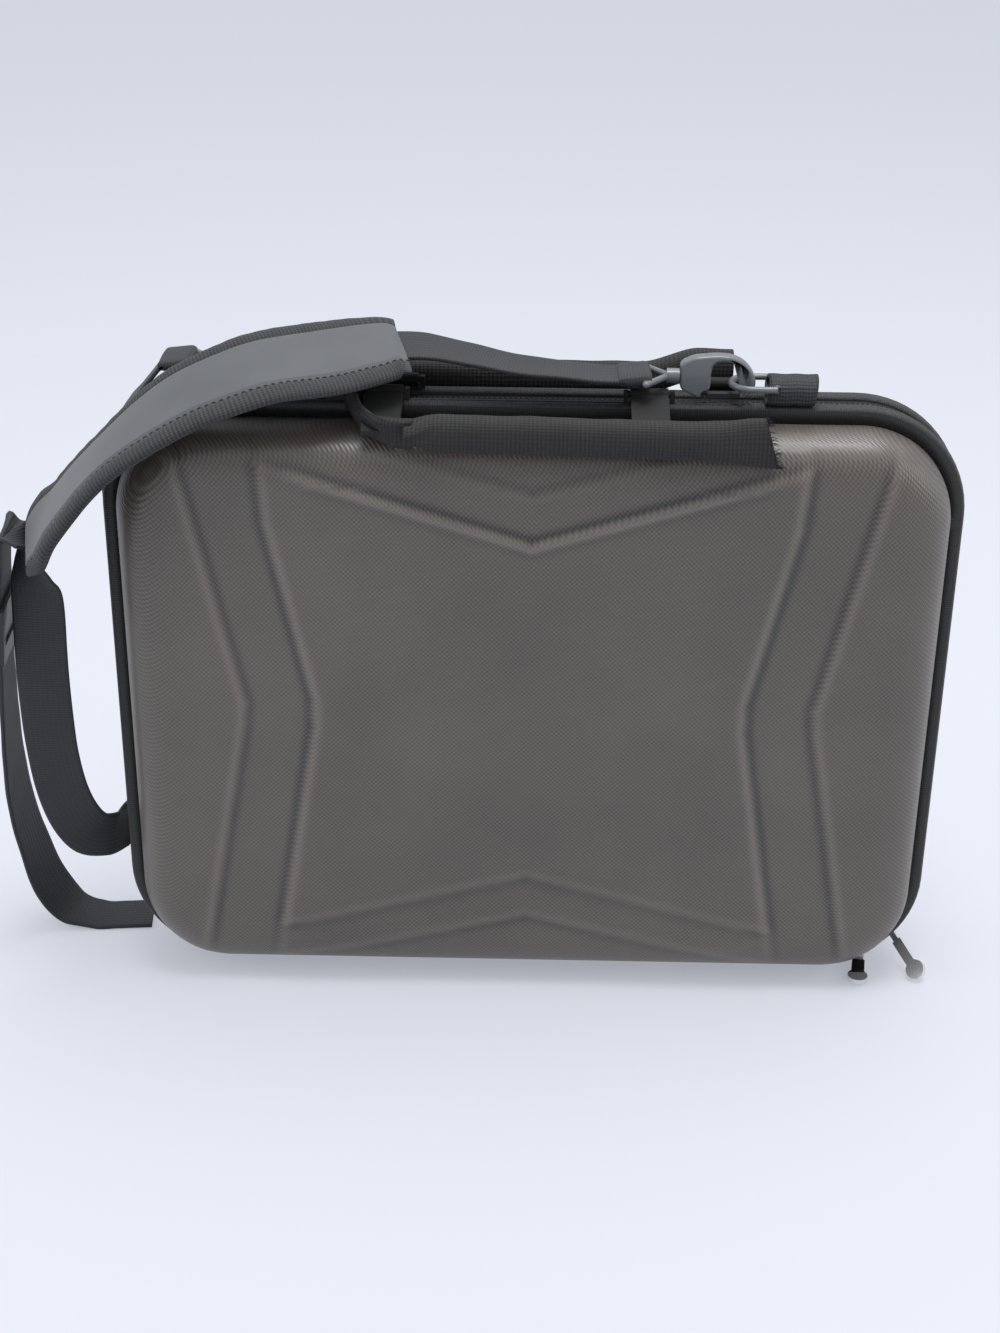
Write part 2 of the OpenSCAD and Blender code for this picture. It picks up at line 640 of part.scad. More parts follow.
front_shell();
front_binding();
front_zip_tape();
hinge_strip();
front_liner();
lid_pocket();
pocket_elastic();
tab_right();
tab_left();
front_handle_anchors();
front_handle_grip();
front_handle_webbing();
strap_loop_right();
strap_top_run();
shoulder_pad();
strap_lower_run();
strap_tail();
strap_side_run();
strap_loop_left();
strap_adjuster();
swivel_eye_right();
swivel_eye_left();
ring_right();
ring_left();
hook_right();
hook_left();
gate_right();
gate_left();
rear_shell();
rear_binding();
rear_zip_tape();
rear_liner();
laptop_strap();
strap_fastener();
rear_handle_anchors();
rear_handle_grip();
rear_handle_webbing();
slider_lower();
slider_upper();
pull_lower();
pull_upper();
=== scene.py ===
"""Moulded laptop hard case with a draped shoulder strap: the visual model round its CAD frame."""
import math
import random

import bmesh
import bpy
import numpy as np
from mathutils import Matrix, Vector


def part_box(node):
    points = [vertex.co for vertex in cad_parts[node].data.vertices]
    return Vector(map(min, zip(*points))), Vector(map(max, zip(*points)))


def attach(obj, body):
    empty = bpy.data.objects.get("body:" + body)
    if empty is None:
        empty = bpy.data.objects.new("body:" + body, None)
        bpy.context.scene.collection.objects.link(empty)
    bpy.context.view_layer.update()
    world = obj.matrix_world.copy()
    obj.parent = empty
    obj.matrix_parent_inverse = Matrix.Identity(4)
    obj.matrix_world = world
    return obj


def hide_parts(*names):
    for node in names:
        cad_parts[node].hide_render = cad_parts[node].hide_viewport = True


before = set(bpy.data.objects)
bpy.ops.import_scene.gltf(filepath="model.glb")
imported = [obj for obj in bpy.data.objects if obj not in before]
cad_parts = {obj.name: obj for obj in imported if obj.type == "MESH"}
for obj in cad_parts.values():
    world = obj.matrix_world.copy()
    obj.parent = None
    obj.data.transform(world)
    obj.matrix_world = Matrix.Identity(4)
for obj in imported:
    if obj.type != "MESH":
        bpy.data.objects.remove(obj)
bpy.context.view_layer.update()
MM = 0.001


# ---------------------------------------------------------------- sizes from the frame
def node_box(name):
    """Lowest and highest corner of a CAD node, in millimetres."""
    low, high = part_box(name)
    return [v / MM for v in low], [v / MM for v in high]


bind_low, bind_high = node_box("front_binding")
shell_low, shell_high = node_box("front_shell")
CASE_W = bind_high[0] - bind_low[0]
CASE_H = bind_high[2] - bind_low[2]
LEFT = bind_low[0]
MID_Z = CASE_H / 2
BIND_OUT = bind_high[2] - shell_high[2]
ZIP_HALF = -bind_high[1]
BIND_END = -bind_low[1]
HALF_D = -shell_low[1]
CORNER_R = 52.0
RIM_R = CORNER_R - BIND_OUT
FLAT_R = RIM_R - 26
TAPE_R = CORNER_R - 3.4
CC_X = CASE_W / 2 - CORNER_R
CC_Z = MID_Z - CORNER_R


# ---------------------------------------------------------------- mesh helpers
def mesh_object(name, verts, faces, material, body, nodes=(), uvs=None, merge=0.0,
                shade=None):
    """Smooth-shaded mesh from millimetre points, riding on a body and standing for CAD nodes."""
    mesh = bpy.data.meshes.new(name)
    mesh.from_pydata([tuple(c * MM for c in v) for v in verts], [], faces)
    if uvs:
        layer = mesh.uv_layers.new(name="weave")
        for loop in mesh.loops:
            layer.data[loop.index].uv = uvs[loop.vertex_index]
    # per-point painted shade and highlight, stored as a point attribute for the material
    if shade:
        mesh.attributes.new("proud", "FLOAT", "POINT").data.foreach_set("value", shade)
    bm = bmesh.new()
    bm.from_mesh(mesh)
    if merge:
        bmesh.ops.remove_doubles(bm, verts=bm.verts, dist=merge * MM)
    bmesh.ops.recalc_face_normals(bm, faces=bm.faces)
    for face in bm.faces:
        face.smooth = True
    bm.to_mesh(mesh)
    bm.free()
    obj = bpy.data.objects.new(name, mesh)
    bpy.context.scene.collection.objects.link(obj)
    mesh.materials.append(material)
    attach(obj, body)
    if nodes:
        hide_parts(*nodes)
    return obj


def lattice(rows, cols, wrap_rows=False):
    """Quads of a grid whose points are listed row by row; its columns close on themselves."""
    faces = []
    for i in range(rows if wrap_rows else rows - 1):
        here, there = i * cols, (i + 1) % rows * cols
        for j in range(cols):
            k = (j + 1) % cols
            faces.append((here + j, here + k, there + k, there + j))
    return faces


def lofted(rings):
    """Points and faces of a closed tube through rings of points, with capped ends."""
    cols = len(rings[0])
    verts = [p for ring in rings for p in ring]
    faces = lattice(len(rings), cols)
    faces.append(tuple(range(cols))[::-1])
    faces.append(tuple(range(len(verts) - cols, len(verts))))
    return verts, faces


def spline(points, steps):
    """Catmull-Rom points through a list of tuples."""
    out = []
    n = len(points)
    for i in range(n - 1):
        a, b = points[max(i - 1, 0)], points[i]
        c, d = points[i + 1], points[min(i + 2, n - 1)]
        for k in range(steps):
            f = k / steps
            out.append(tuple(0.5 * (2 * q + (r - p) * f + (2 * p - 5 * q + 4 * r - s) * f ** 2
                                    + (3 * q - p - 3 * r + s) * f ** 3)
                             for p, q, r, s in zip(a, b, c, d)))
    out.append(tuple(points[-1]))
    return out


def smoothstep(x):
    x = min(max(x, 0.0), 1.0)
    return x * x * (3 - 2 * x)


def wobble(*args):
    """Smooth, repeatable unevenness between -1 and 1."""
    return sum(math.sin(a * k + p) for a, k, p in args) / len(args)


# ---------------------------------------------------------------- materials
class Shade:
    """A principled material whose nodes are added one at a time."""

    def __init__(self, name, color, rough, metallic=0.0, sheen=0.0, coat=0.0):
        self.mat = bpy.data.materials.new(name)
        self.mat.use_nodes = True
        self.tree = self.mat.node_tree
        self.shader = self.tree.nodes["Principled BSDF"]
        self.shader.inputs["Roughness"].default_value = rough
        self.shader.inputs["Metallic"].default_value = metallic
        self.shader.inputs["Sheen Weight"].default_value = sheen
        self.shader.inputs["Sheen Roughness"].default_value = 0.5
        self.shader.inputs["Coat Weight"].default_value = coat
        self.shader.inputs["Base Color"].default_value = (*color, 1)
        self.coords = self.node("ShaderNodeTexCoord")

    def node(self, kind, **settings):
        made = self.tree.nodes.new(kind)
        for key, value in settings.items():
            setattr(made, key, value)
        return made

    def link(self, a, b):
        self.tree.links.new(a, b)

    def math(self, op, a, b=None, clamp=False):
        made = self.node("ShaderNodeMath", operation=op, use_clamp=clamp)
        for socket, value in zip(made.inputs, (a, b)):
            if value is None:
                continue
            if isinstance(value, (int, float)):
                socket.default_value = value
            else:
                self.link(value, socket)
        return made.outputs[0]

    def axes(self, source):
        split = self.node("ShaderNodeSeparateXYZ")
        self.link(source, split.inputs[0])
        return split.outputs

    def wave(self, value, pitch):
        """Sine of a length in metres (or uv in metres), one cycle per pitch in millimetres."""
        return self.math("SINE", self.math("MULTIPLY", value, 2 * math.pi / (pitch * MM)))

    def noise(self, scale, detail=2.0):
        made = self.node("ShaderNodeTexNoise")
        made.inputs["Scale"].default_value = scale
        made.inputs["Detail"].default_value = detail
        self.link(self.coords.outputs["Object"], made.inputs["Vector"])
        return made.outputs["Fac"]

    def tint(self, factor, dark, light):
        """Colours the surface between two shades by a factor from 0 to 1."""
        ramp = self.node("ShaderNodeValToRGB")
        ramp.color_ramp.elements[0].color = (*dark, 1)
        ramp.color_ramp.elements[1].color = (*light, 1)
        self.link(factor, ramp.inputs[0])
        self.link(ramp.outputs[0], self.shader.inputs["Base Color"])

    def bump(self, height, distance, strength=1.0):
        """Raises the surface by a height from 0 to 1 over a distance in millimetres."""
        made = self.node("ShaderNodeBump")
        made.inputs["Distance"].default_value = distance * MM
        made.inputs["Strength"].default_value = strength
        self.link(height, made.inputs["Height"])
        self.link(made.outputs[0], self.shader.inputs["Normal"])


def grey(value, warm=0.0):
    """Linear colour of an sRGB grey from 0 to 255, a little warm or cool."""
    tone = [(value * (1 + w) / 255) for w in (warm, 0, -warm)]
    return [(c / 12.92 if c <= 0.04045 else ((c + 0.055) / 1.055) ** 2.4) for c in tone]


def shell_cloth():
    """Cloth laminated on moulded foam, in a fine diamond weave, with painted shade in the moulding's
    grooves and painted highlight on its ridges.
    """
    s = Shade("shell_cloth", grey(84), 0.36, sheen=0.1)
    s.shader.inputs["Specular IOR Level"].default_value = 0.75
    x, y, z = s.axes(s.coords.outputs["Object"])
    a = s.wave(s.math("ADD", x, y), 2.2)
    b = s.wave(s.math("SUBTRACT", z, y), 2.2)
    weave = s.math("ADD", s.math("MULTIPLY", s.math("MULTIPLY", a, b), 0.5), 0.5)
    blotch = s.noise(14, 3)
    # painted shade and highlight: the point attribute darkens the cloth in the moulding's grooves and
    # lightens it on its ridges
    proud = s.node("ShaderNodeAttribute", attribute_name="proud").outputs["Fac"]
    edges = s.math("MULTIPLY", s.math("SUBTRACT", proud, 0.5), 0.75)
    factor = s.math("ADD", s.math("MULTIPLY", weave, 0.5), s.math("MULTIPLY", blotch, 0.4))
    factor = s.math("ADD", factor, edges, True)
    s.tint(factor, grey(24, 0.1), grey(100, 0.085))
    s.bump(weave, 0.16, 1.0)
    return s.mat


def uv_cloth(name, dark, light, pitch, cross=0.0, rough=0.8, depth=0.25, sheen=0.3):
    """Webbing with ribs across or along its length: the uv map is in metres."""
    s = Shade(name, light, rough, sheen=sheen)
    split = s.axes(s.coords.outputs["UV"])
    ribs = s.wave(split[0], pitch)
    if cross:
        ribs = s.math("ADD", s.math("MULTIPLY", ribs, 0.7),
                      s.math("MULTIPLY", s.wave(split[1], cross), 0.3))
    height = s.math("ADD", s.math("MULTIPLY", ribs, 0.5), 0.5)
    worn = s.noise(60, 3)
    factor = s.math("ADD", s.math("MULTIPLY", height, 0.7), s.math("MULTIPLY", worn, 0.3), True)
    s.tint(factor, dark, light)
    s.bump(height, depth, 1.0)
    return s.mat


def twill(name, dark, light, pitch):
    """Soft cloth whose two fine slanting lines cross."""
    s = Shade(name, light, 0.75, sheen=0.15)
    x, y, z = s.axes(s.coords.outputs["Object"])
    line = s.wave(s.math("ADD", s.math("ADD", x, s.math("MULTIPLY", y, 0.8)),
                         s.math("MULTIPLY", z, 0.6)), pitch)
    cross = s.wave(s.math("SUBTRACT", y, s.math("MULTIPLY", x, 0.7)), pitch * 0.9)
    weave = s.math("ADD", s.math("MULTIPLY", s.math("MULTIPLY", line, cross), 0.5), 0.5)
    factor = s.math("ADD", s.math("MULTIPLY", weave, 0.35),
                    s.math("MULTIPLY", s.noise(35, 4), 0.65), True)
    s.tint(factor, dark, light)
    s.bump(weave, 0.03, 0.6)
    return s.mat


def plain(name, color, rough, metallic=0.0, coat=0.0):
    """One colour with a fine grain."""
    s = Shade(name, color, rough, metallic, coat=coat)
    grain = s.noise(300, 3)
    dark = [c * 0.88 for c in color]
    s.tint(grain, dark, color)
    s.bump(grain, 0.03, 0.4)
    return s.mat


def dark_banded_pull(middle, half):
    """Nickel pull, coloured black along a band of its shank, nickel at both ends."""
    s = Shade("pull_grip", grey(20), 0.3)
    y = s.axes(s.coords.outputs["Object"])[1]
    bare = s.math("GREATER_THAN", s.math("ABSOLUTE", s.math("SUBTRACT", y, middle * MM)), half * MM)
    s.tint(bare, grey(18), grey(225))
    s.link(s.math("MULTIPLY", bare, 0.85), s.shader.inputs["Metallic"])
    return s.mat


CLOTH = shell_cloth()
PIPING = uv_cloth("piping", grey(10), grey(36), 1.1, 1.4, rough=0.5, depth=0.2, sheen=0.1)
TAPE = plain("zip_tape", grey(20), 0.8)
TEETH = plain("zip_teeth", grey(24), 0.4)
WEBBING = uv_cloth("webbing", grey(10, -0.08), grey(40, -0.08), 1.3, 2.4, rough=0.6, sheen=0.06)
BAND = plain("webbing_plain", grey(20, 0.02), 0.8)
HANDLE = uv_cloth("handle_cloth", grey(5, 0.04), grey(42, 0.04), 1.9, 1.5, depth=0.45, sheen=0.02)
BORDER = uv_cloth("pad_border", grey(12), grey(62, -0.02), 1.8, 1.6, depth=0.4, sheen=0.05)
SLATE = twill("pad_cloth", grey(62, -0.02), grey(92, -0.02), 1.5)
LINING = twill("lining", grey(52), grey(78), 1.2)
ELASTIC = plain("elastic", grey(28), 0.8)
THREAD = plain("thread", grey(22), 0.7)
HOOK = plain("hook_plastic", grey(104, -0.035), 0.32, coat=0.25)
STEEL = plain("ring_steel", grey(96, -0.02), 0.28, metallic=0.8)
NICKEL = plain("zip_metal", grey(232), 0.24, metallic=0.85)
BUCKLE = plain("buckle_plastic", grey(24, -0.04), 0.4)


# ---------------------------------------------------------------- the case's outline
def spokes(step, corner_steps):
    """Points of the corner-centre rectangle with the outward direction at each."""
    out = []
    for turn, (sx, sz) in enumerate(((1, 1), (-1, 1), (-1, -1), (1, -1))):
        start = math.radians(90 * turn)
        for k in range(corner_steps):
            a = start + math.radians(90) * k / corner_steps
            out.append((sx * CC_X, MID_Z + sz * CC_Z, math.cos(a), math.sin(a)))
        end = start + math.radians(90)
        nx, nz = round(math.cos(end)), round(math.sin(end))
        length = 2 * (CC_X if nz else CC_Z)
        count = max(int(length / step), 1)
        dx, dz = -nz, nx
        for k in range(count):
            f = k * length / count
            out.append((sx * CC_X + dx * f, MID_Z + sz * CC_Z + dz * f, nx, nz))
    return out


# ---------------------------------------------------------------- moulded shells
INNER = ((0, 17, MID_Z - 3, MID_Z + 12, 250, 300), (124.5, 124, 102, 102, 121.8, 126))
OUTER = ((0, 17, MID_Z - 3, MID_Z + 9, 265, 300), (161, 158.5, 134.5, 133.5, 157.5, 167))
RELIEF = 2.2                # height of the centre panel above the grooves
SLOPE = 6.0                 # width of the moulding's slopes
UPPER_V = ((241.5, 0.3), (265.5, 0.262))        # height at the middle and rise outwards
LOWER_V = ((43.5, -0.245), (67.5, -0.263))
EDGE_POWER = 2.7            # squareness of the shell's rounded edge
FACE_DEPTH = HALF_D - 2     # depth of the face under its relief
ROUND_SHARE = 0.12          # share of the face's rings that take up its corner radius
WALL = 2.3


def rise(distance):
    """Smooth step from 0 to 1 across the moulding's slope."""
    f = np.clip(distance / SLOPE + 0.5, 0, 1)
    return f * f * (3 - 2 * f)


def relief_at(x, z):
    """Height of the moulded relief above the grooves: panel, chevrons, outer fields and beads."""
    ax = np.abs(x)
    inside = rise(np.interp(z, *INNER) - ax)
    outside = rise(ax - np.interp(z, *OUTER))
    low_v, high_v = [z - (middle + slope * ax) for middle, slope in UPPER_V]
    low_c, high_c = [z - (middle + slope * ax) for middle, slope in LOWER_V]
    panel = rise(-low_v) * rise(high_c)
    top = rise(low_v) * rise(-high_v)
    foot = rise(-high_c) * rise(low_c)
    beads = np.exp(-((low_v + 1) / 2.8) ** 2) + 0.4 * np.exp(-((high_c + 1) / 2.8) ** 2)
    reach = 1 - np.clip((ax - 104) / 10, 0, 1)
    fields = inside * (panel + 0.4 * top + 0.5 * foot) + 0.8 * outside
    return RELIEF * fields + 0.9 * beads * reach


def edge_shade(x, z, reach=3.5):
    """How far a point stands proud of the moulding round it, as a shade about 0.5: painted shade in the
    grooves and painted highlight on the ridges.
    """
    mean = sum(relief_at(x + a * reach, z + b * reach)
               for a, b in ((1, 0), (-1, 0), (0, 1), (0, -1))) / 4
    return np.clip(0.5 + 1.1 * (relief_at(x, z) - mean), 0, 1)


def shell(name, side, body, node):
    """Outer skin of one half: the rounded wall, the flat face and its relief, with thickness."""
    ways = np.array(spokes(1.5, 36))
    wall_steps, face_steps = 30, 150
    turn = np.radians(90 * np.arange(wall_steps + 1) / wall_steps)
    cosine = np.maximum(np.cos(turn), 0)
    flat = np.arange(1, face_steps + 1) / face_steps
    r = np.concatenate((FLAT_R + (RIM_R - FLAT_R) * cosine ** (2 / EDGE_POWER),
                        FLAT_R * np.clip(1 - flat / ROUND_SHARE, 0, 1)))
    d = np.concatenate((BIND_END + (FACE_DEPTH - BIND_END) * np.sin(turn) ** (2 / EDGE_POWER),
                        np.full(face_steps, FACE_DEPTH)))
    lean = np.concatenate((cosine ** 1.2, np.zeros(face_steps)))
    inward = np.clip((flat - ROUND_SHARE) / (1.0005 - ROUND_SHARE), 0, 1)
    shrink = np.concatenate((np.ones(wall_steps + 1), 1 - inward))
    bx, bz, nx, nz = ways.T
    x = np.outer(shrink, bx) + np.outer(r, nx)
    z = MID_Z + np.outer(shrink, bz - MID_Z) + np.outer(r, nz)
    fade = np.clip((d - BIND_END) / 9, 0, 1)
    fade = (fade * fade * (3 - 2 * fade) * (1 - lean))[:, None]
    y = -side * (d[:, None] + relief_at(x, z) * fade)
    verts = np.stack((x, y, z), -1).reshape(-1, 3).tolist()
    # painted shade in the moulding's grooves and painted highlight on its ridges, fading out towards the
    # rim
    shade = (0.5 + (edge_shade(x, z) - 0.5) * fade).ravel().tolist()
    faces = lattice(len(r), len(ways))
    obj = mesh_object(name, verts, faces, CLOTH, body, [node], merge=0.02,
                      shade=shade)
    thick = obj.modifiers.new("wall", "SOLIDIFY")
    thick.thickness = WALL * MM
    thick.offset = -1


# ---------------------------------------------------------------- bindings and zip
def swept(name, profile, material, body, nodes=()):
    """Closed profile (outward, depth with sign) swept round the outline."""
    ways = spokes(6.0, 16)
    verts, uvs = [], []
    travel, last = 0.0, None
    for bx, bz, nx, nz in ways:
        here = (bx + nx * CORNER_R, bz + nz * CORNER_R)
        travel += math.dist(here, last) if last else 0.0
        last = here
        for j, (r, d) in enumerate(profile):
            verts.append((bx + nx * r, -d, bz + nz * r))
            uvs.append((travel * MM, j * MM))
    faces = lattice(len(ways), len(profile), wrap_rows=True)
    return mesh_object(name, verts, faces, material, body, nodes, uvs=uvs)


GROOVE_SHIFT = 0.6          # the stitched groove, outward from the middle of the binding


def binding_profile(side):
    """Two rolled cords side by side with the stitched groove between them."""
    mid, half = (ZIP_HALF + BIND_END) / 2, (BIND_END - ZIP_HALF) / 2
    points = []
    for k in range(28):
        a = math.radians(-90 + 180 * k / 27)
        d = mid + half * math.sin(a) * 0.98
        r = CORNER_R - 3.2 + 3.2 * abs(math.cos(a)) ** 0.55
        r -= 0.9 * math.exp(-((d - mid - GROOVE_SHIFT) / 0.55) ** 2)
        points.append((r, side * d))
    inner = [(RIM_R - 0.3, side * (BIND_END - 0.1)), (RIM_R - 0.3, side * (ZIP_HALF + 0.1))]
    return points + inner


def lozenge(verts, faces, middle, axes, size, heights, slant=0.0):
    """One stitch: length, width and height along its axes, low at both ends."""
    along, side, out = axes
    length, width, height = size
    base = len(verts)
    for da, do in zip((-1, -0.5, 0.5, 1), heights):
        for ds in (-1, 1):
            verts.append(middle + along * da * length / 2 + out * do * height
                         + side * (ds * width / 2 + da * width * slant))
    corners = ((0, 1, 3, 2), (2, 3, 5, 4), (4, 5, 7, 6), (0, 6, 7, 1), (0, 2, 4, 6), (1, 7, 5, 3))
    faces += [tuple(base + k for k in quad) for quad in corners]


def stitches(name, body, radius, depth, pitch, size):
    """Row of short stitches round the outline, as small slanted lozenges."""
    ways = spokes(pitch, max(int(radius * math.pi / 2 / pitch), 3))
    verts, faces = [], []
    for bx, bz, nx, nz in ways:
        c = Vector((bx + nx * radius, -depth, bz + nz * radius))
        axes = Vector((-nz, 0, nx)), Vector((0, 1, 0)), Vector((nx, 0, nz))
        lozenge(verts, faces, c, axes, size, (-0.5, 0.6, 0.6, -0.5), 0.3)
    return mesh_object(name, verts, faces, THREAD, body)


# Sections of a tooth from its root to its head: depth, half width and half height
TOOTH = ((2.9, 0.55, 0.1), (2.2, 0.75, 0.28), (0.4, 0.75, 0.28), (0.05, 0.5, 0.1))


def zip_teeth(name, side, body):
    """One half of the coil: a tooth every pitch, its head across the middle of the zip."""
    pitch = 2.4
    ways = spokes(pitch, 34)
    verts, faces = [], []
    shift = 0.0 if side > 0 else 0.5
    count = len(ways)
    for i, (bx, bz, nx, nz) in enumerate(ways):
        mx, mz = bx + nx * TAPE_R, bz + nz * TAPE_R
        if mz < 20 and abs(mx) < node_box("hinge_strip")[1][0] + 2:
            continue
        qx, qz, qnx, qnz = ways[(i + 1) % count]
        c = Vector((mx, 0, mz)).lerp(Vector((qx + qnx * TAPE_R, 0, qz + qnz * TAPE_R)), shift)
        out, along = Vector((nx, 0, nz)), Vector((-nz, 0, nx))
        base = len(verts)
        for depth, wide, tall in TOOTH:
            for da, do in ((-1, -0.6), (1, -0.6), (0.8, 1), (-0.8, 1)):
                verts.append(c + Vector((0, -side * depth, 0)) + along * da * wide
                             + out * (0.8 + do * tall))
        for k in range(3):
            for j in range(4):
                a, b = base + 4 * k + j, base + 4 * k + (j + 1) % 4
                faces.append((a, b, b + 4, a + 4))
        faces += [(base + 3, base + 2, base + 1, base), (base + 12, base + 13, base + 14, base + 15)]
    return mesh_object(name, verts, faces, TEETH, body)


# ---------------------------------------------------------------- strap and pad
WEB_W, WEB_T = 25.0, 1.8
PAD_W, PAD_T = 55.0, 8.0


def frames(stations, steps):
    """Centre, along, across and up at each step of a band's stations."""
    c = [Vector(p) for p in spline([s[0] for s in stations], steps)]
    w = [Vector(p) for p in spline([tuple(Vector(s[1]).normalized()) for s in stations], steps)]
    out = []
    for i, here in enumerate(c):
        d = (c[min(i + 1, len(c) - 1)] - c[max(i - 1, 0)]).normalized()
        u = (w[i] - d * w[i].dot(d)).normalized()
        out.append((here, d, u, d.cross(u)))
    return out


def band(name, stations, body, nodes, cup=0.5):
    """Webbing: rounded selvedges, a slight cup across and ribs from its uv map."""
    rings, uvs = [], []
    travel, last = 0.0, None
    across = [-1, -0.96, -0.85, -0.5, 0, 0.5, 0.85, 0.96, 1]
    for c, _, u, v in frames(stations, 14):
        travel += (c - last).length if last else 0.0
        last = c
        ring = []
        for sign in (1, -1):
            for s in (across if sign > 0 else across[::-1]):
                edge = 0.55 if abs(s) == 1 else (1.12 if abs(s) > 0.8 else 1.0)
                lift = cup * (1 - s * s) * 0.4
                lift += 0.15 * wobble((travel, 0.11, s), (travel, 0.23, 2 * s))
                ring.append(c + u * s * WEB_W / 2 + v * (sign * edge * WEB_T / 2 + lift - cup * 0.2))
                uvs.append((travel * MM, s * WEB_W / 2 * MM))
        rings.append(ring)
    verts, faces = lofted(rings)
    return mesh_object(name, verts, faces, WEBBING, body, nodes, uvs=uvs)


def seam(name, body, rows, pitch, size):
    """Stitches laid along rows of (point, across, up) on a surface."""
    path = [row[0] for row in rows]
    verts, faces = [], []
    travel, goal = 0.0, 0.0
    for i in range(1, len(path)):
        step = (path[i] - path[i - 1]).length
        while step > 0 and travel + step >= goal:
            f = (goal - travel) / step
            c = path[i - 1].lerp(path[i], f)
            along = (path[i] - path[i - 1]).normalized()
            axes = along, rows[i][1], rows[i][2]
            lozenge(verts, faces, c, axes, size, (-0.6, 1, 1, -0.6))
            goal += pitch
        travel += step
    return mesh_object(name, verts, faces, THREAD, body)


TOP = CASE_H
PAD_ROUTE = [
    ((-60.5, 2, TOP + 21.2), (-0.02, 0.98, 0.18), 0.94),
    ((-71, -1, TOP + 20.8), (-0.1, 0.97, 0.22), 1),
    ((-95, -14, TOP + 19.5), (-0.29, 0.91, 0.3), 1),
    ((-119, -26, TOP + 18.8), (-0.32, 0.91, 0.27), 1),
    ((LEFT + 65, -32, TOP + 15), (-0.37, 0.9, 0.23), 1),
    ((LEFT + 46, -36, TOP + 7.5), (-0.44, 0.89, 0.13), 1),
    ((LEFT + 29, -38, TOP - 3), (-0.42, 0.91, 0.02), 1),
    ((LEFT + 13, -38, TOP - 16), (-0.41, 0.9, -0.13), 1),
    ((LEFT - 2, -38, TOP - 31), (-0.43, 0.87, -0.23), 1),
    ((LEFT - 16, -37, TOP - 48), (-0.42, 0.87, -0.24), 1),
    ((LEFT - 25, -34, TOP - 60), (-0.46, 0.87, -0.16), 0.9),
    ((LEFT - 31, -32, TOP - 69), (-0.39, 0.92, -0.05), 0.62),
]


def pad_section(share, end, travel):
    """Cross-section of the pad: a flat crowned top between two rolled borders."""
    half, t = share * PAD_W / 2, PAD_T / 2 * end
    points = []
    for k in range(61):
        s = -1 + k / 30
        crown = 1.05 - 0.22 * s * s
        q = (abs(s) - 0.8) / 0.2
        roll = (1 - min(abs(q), 1) ** 2.4) ** 0.5
        roll = 0.2 + roll * (0.72 + 0.05 * wobble((travel, 0.35, s * 2), (travel, 0.83, 1 + s)))
        up = t * (crown if q < -0.97 else min(crown, roll) if q < 0 else roll - 0.2 * q)
        points.append((s * half, up))
    for k in range(1, 20):
        s = 1 - k / 10
        points.append((s * half, -t * (1 - abs(s) ** 5) ** 0.5 * 0.95))
    return points


def shoulder_pad():
    """The crowned slate pad with its rolled webbing border, twin stitch rows and padding."""
    steps = 12
    ways = frames(PAD_ROUTE, steps)
    shares = [p[0] for p in spline([(s[2],) for s in PAD_ROUTE], steps)]
    rings, uvs, seams = [], [], {-1: [], 1: []}
    travel, last, n = 0.0, None, len(ways)
    for i, (c, _, u, down) in enumerate(ways):
        v = -down
        travel += (c - last).length if last else 0.0
        last = c
        near = min(i, n - 1 - i) / 8
        end = 0.4 + 0.6 * smoothstep(near)
        section = pad_section(shares[i], end, travel)
        rings.append([c + u * a + v * b for a, b in section])
        uvs += [(travel * MM, (a + b) * MM) for a, b in section]
        for side in (-1, 1):
            a, b = section[30 + side * 19]
            seams[side].append((c + u * a + v * (b + 0.1), u, v))
    verts, faces = lofted(rings)
    obj = mesh_object("shoulder_pad_cover", verts, faces, SLATE, "front_half",
                      ["shoulder_pad"], uvs=uvs)
    obj.data.materials.append(BORDER)
    cols = len(rings[0])
    for face in obj.data.polygons:
        places = [k % cols for k in face.vertices]
        if len(places) == 4 and not any(12 <= k <= 48 for k in places):
            face.material_index = 1
    for side, rows in seams.items():
        seam("pad_stitches_%s" % ("rear" if side > 0 else "front"), "front_half", rows, 3.4,
             (2.4, 0.7, 0.5))


